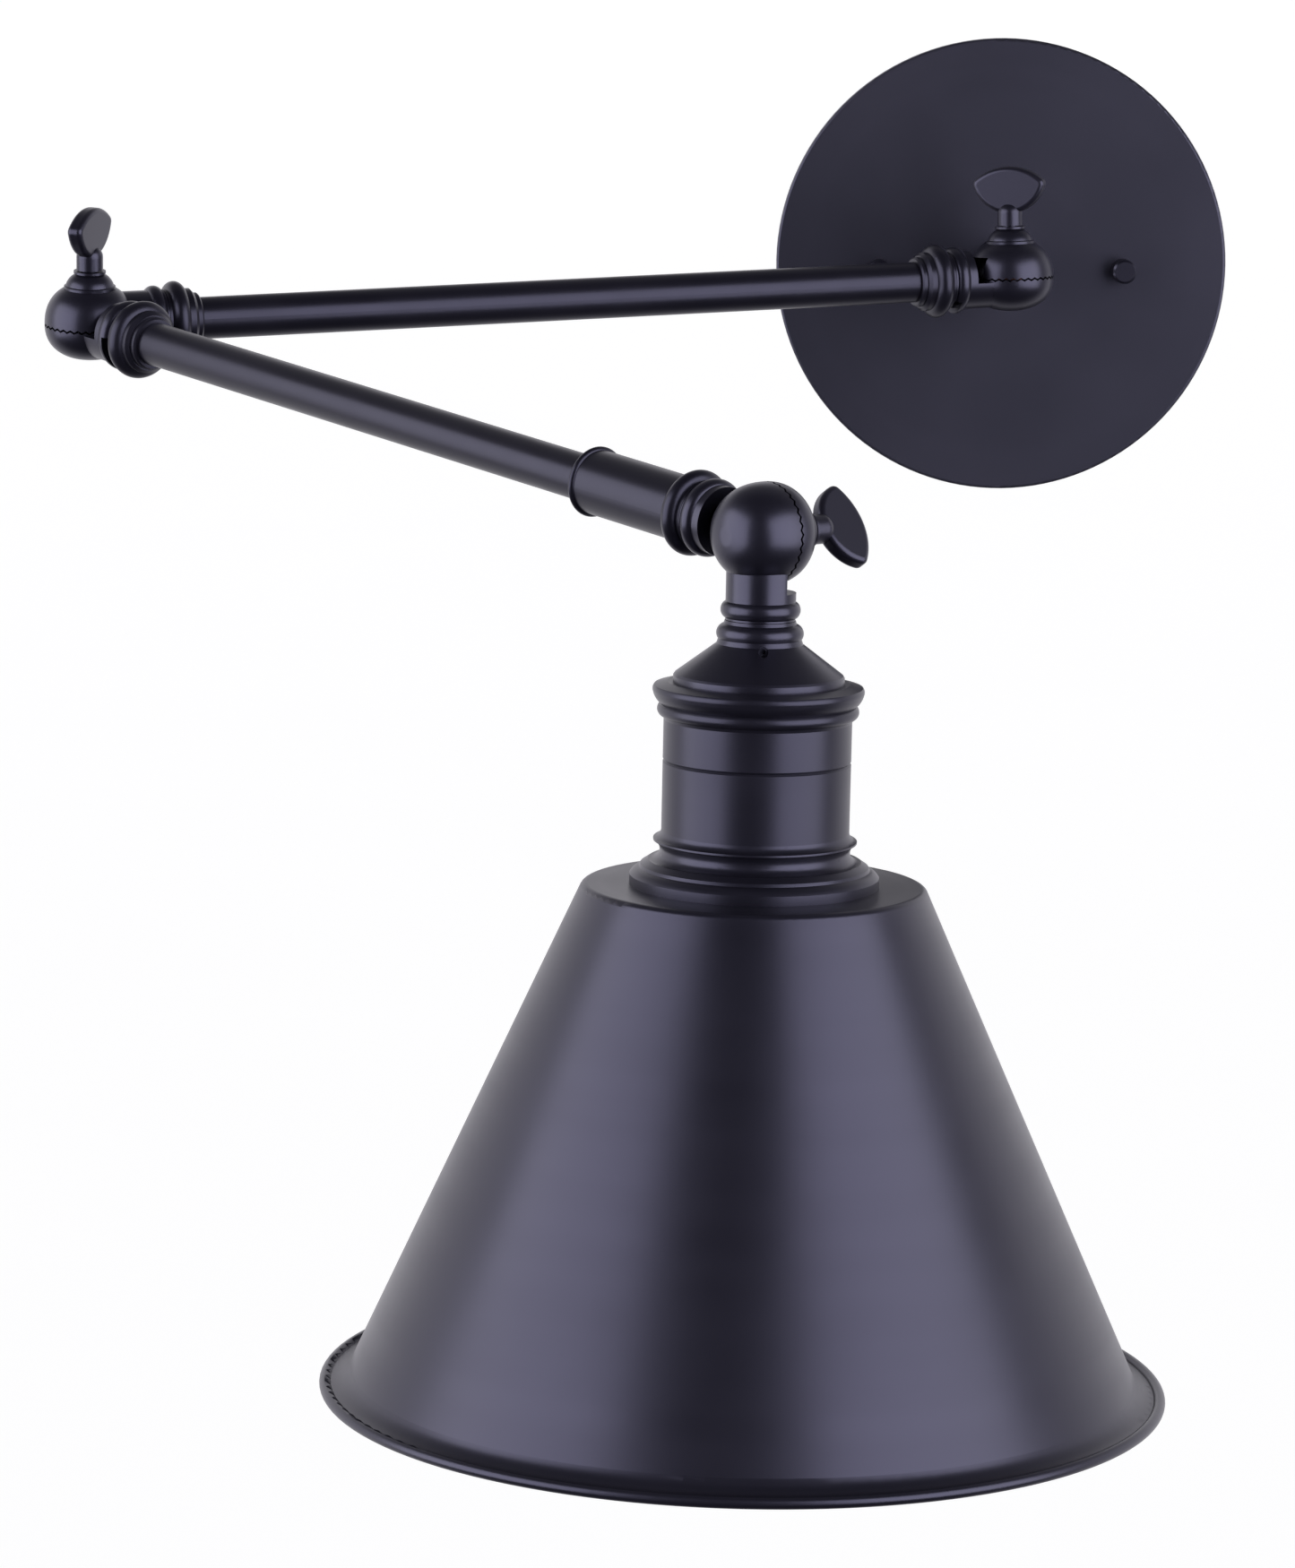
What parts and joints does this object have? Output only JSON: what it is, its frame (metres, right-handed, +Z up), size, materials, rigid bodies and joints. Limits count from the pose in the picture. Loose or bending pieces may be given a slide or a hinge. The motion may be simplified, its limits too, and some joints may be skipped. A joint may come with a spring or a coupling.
{
  "type": "swing arm wall sconce",
  "caption": "Wall lamp with a round plate, serrated thumb-key knuckles, two jointed arms and a flat-topped conical metal shade over a screw-base holder.",
  "frame": {"origin": "centre of the wall plate's back face, on the wall", "axes": "+Y into the wall, +X to the right of someone facing the wall, +Z up"},
  "size_m": [0.3774, 0.5059, 0.3586],
  "materials": {
    "black_coat": "satin",
    "shade_coat": "satin",
    "zinc_steel": "satin",
    "spring_steel": "satin",
    "fibre": "matte",
    "porcelain": "gloss",
    "brass": "satin",
    "phenolic": "satin"
  },
  "bodies": {
    "wall_mount": {"wall_plate": "black_coat", "crossbar": "zinc_steel", "fixture_screws": "zinc_steel", "cap_nuts": "black_coat", "wall_fitting": "black_coat", "wall_nipple": "zinc_steel", "nipple_jam_nut": "zinc_steel", "wall_stop_pin": "spring_steel", "wall_snap_ring": "spring_steel", "j1_upper_half": "black_coat", "j1_bell_cap": "black_coat"},
    "knuckle_1": {"j1_lower_half": "black_coat", "j1_washer": "fibre"},
    "arm_1": {"arm_1_tube": "black_coat", "arm_1_inner_fitting": "black_coat", "arm_1_outer_fitting": "black_coat", "arm_1_stop_pins": "spring_steel", "arm_1_snap_rings": "spring_steel"},
    "elbow_upper": {"j2_upper_half": "black_coat", "j2_bell_cap": "black_coat"},
    "elbow_lower": {"j2_lower_half": "black_coat", "j2_washer": "fibre"},
    "arm_2": {"arm_2_tube": "black_coat", "arm_2_inner_fitting": "black_coat", "arm_2_outer_fitting": "black_coat", "arm_2_sleeve": "black_coat", "arm_2_stop_pins": "spring_steel", "arm_2_snap_rings": "spring_steel"},
    "knuckle_3": {"j3_upper_half": "black_coat", "j3_bell_cap": "black_coat"},
    "shade_knuckle": {"j3_lower_half": "black_coat", "j3_washer": "fibre"},
    "shade_head": {"neck_cap": "black_coat", "neck_stop_pin": "spring_steel", "neck_snap_ring": "spring_steel", "neck_set_screw": "black_coat", "head_nipple": "zinc_steel", "head_nipple_nut": "zinc_steel", "cup_upper": "black_coat", "cup_lower": "black_coat", "shade_gallery": "black_coat", "shade": "shade_coat", "lamp_holder": "porcelain", "screw_shell": "brass", "centre_contact": "brass", "shade_ring": "phenolic"},
    "key_1": {"j1_thumb_key": "black_coat"},
    "key_2": {"j2_thumb_key": "black_coat"},
    "key_3": {"j3_thumb_key": "black_coat"}
  },
  "joints": [
    {"name": "wall_knuckle_turn", "type": "hinge", "parent": "wall_mount", "child": "knuckle_1", "pos_m": [0, -0.055, -0.0009], "axis": [-0.0251, 0, 0.9997], "range_deg": [-20, 160]},
    {"name": "arm_1_inner_swivel", "type": "hinge", "parent": "knuckle_1", "child": "arm_1", "pos_m": [0, -0.055, -0.0009], "axis": [-0.938, -0.346, -0.0236], "range_deg": [-42, 42]},
    {"name": "arm_1_outer_swivel", "type": "hinge", "parent": "arm_1", "child": "elbow_upper", "pos_m": [-0.28861, -0.16145, -0.00816], "axis": [-0.938, -0.346, -0.0236], "range_deg": [-42, 42]},
    {"name": "elbow_turn", "type": "hinge", "parent": "elbow_upper", "child": "elbow_lower", "pos_m": [-0.28861, -0.16145, -0.00816], "axis": [0.0279, -0.1431, 0.9893], "range_deg": [-200, 6]},
    {"name": "arm_2_inner_swivel", "type": "hinge", "parent": "elbow_lower", "child": "arm_2", "pos_m": [-0.28861, -0.16145, -0.00816], "axis": [0.6534, -0.7464, -0.1263], "range_deg": [-42, 42]},
    {"name": "arm_2_outer_swivel", "type": "hinge", "parent": "arm_2", "child": "knuckle_3", "pos_m": [-0.08755, -0.39111, -0.04703], "axis": [0.6534, -0.7464, -0.1263], "range_deg": [-42, 42]},
    {"name": "shade_tilt", "type": "hinge", "parent": "knuckle_3", "child": "shade_knuckle", "pos_m": [-0.08755, -0.39111, -0.04703], "axis": [0.751, 0.6601, -0.0156], "range_deg": [-115, 32]},
    {"name": "shade_swivel", "type": "hinge", "parent": "shade_knuckle", "child": "shade_head", "pos_m": [-0.08755, -0.39111, -0.04703], "axis": [-0.0209, 0.0002, -0.9998], "range_deg": [-72, 12]},
    {"name": "key_1_turn", "type": "hinge", "parent": "knuckle_1", "child": "key_1", "pos_m": [0, -0.055, -0.0009], "axis": [-0.0251, 0, 0.9997], "range_deg": [0, 180]},
    {"name": "key_2_turn", "type": "hinge", "parent": "elbow_lower", "child": "key_2", "pos_m": [-0.28861, -0.16145, -0.00816], "axis": [0.0279, -0.1431, 0.9893], "range_deg": [0, 180]},
    {"name": "key_3_turn", "type": "hinge", "parent": "shade_knuckle", "child": "key_3", "pos_m": [-0.08755, -0.39111, -0.04703], "axis": [0.751, 0.6601, -0.0156], "range_deg": [0, 180]}
  ]
}
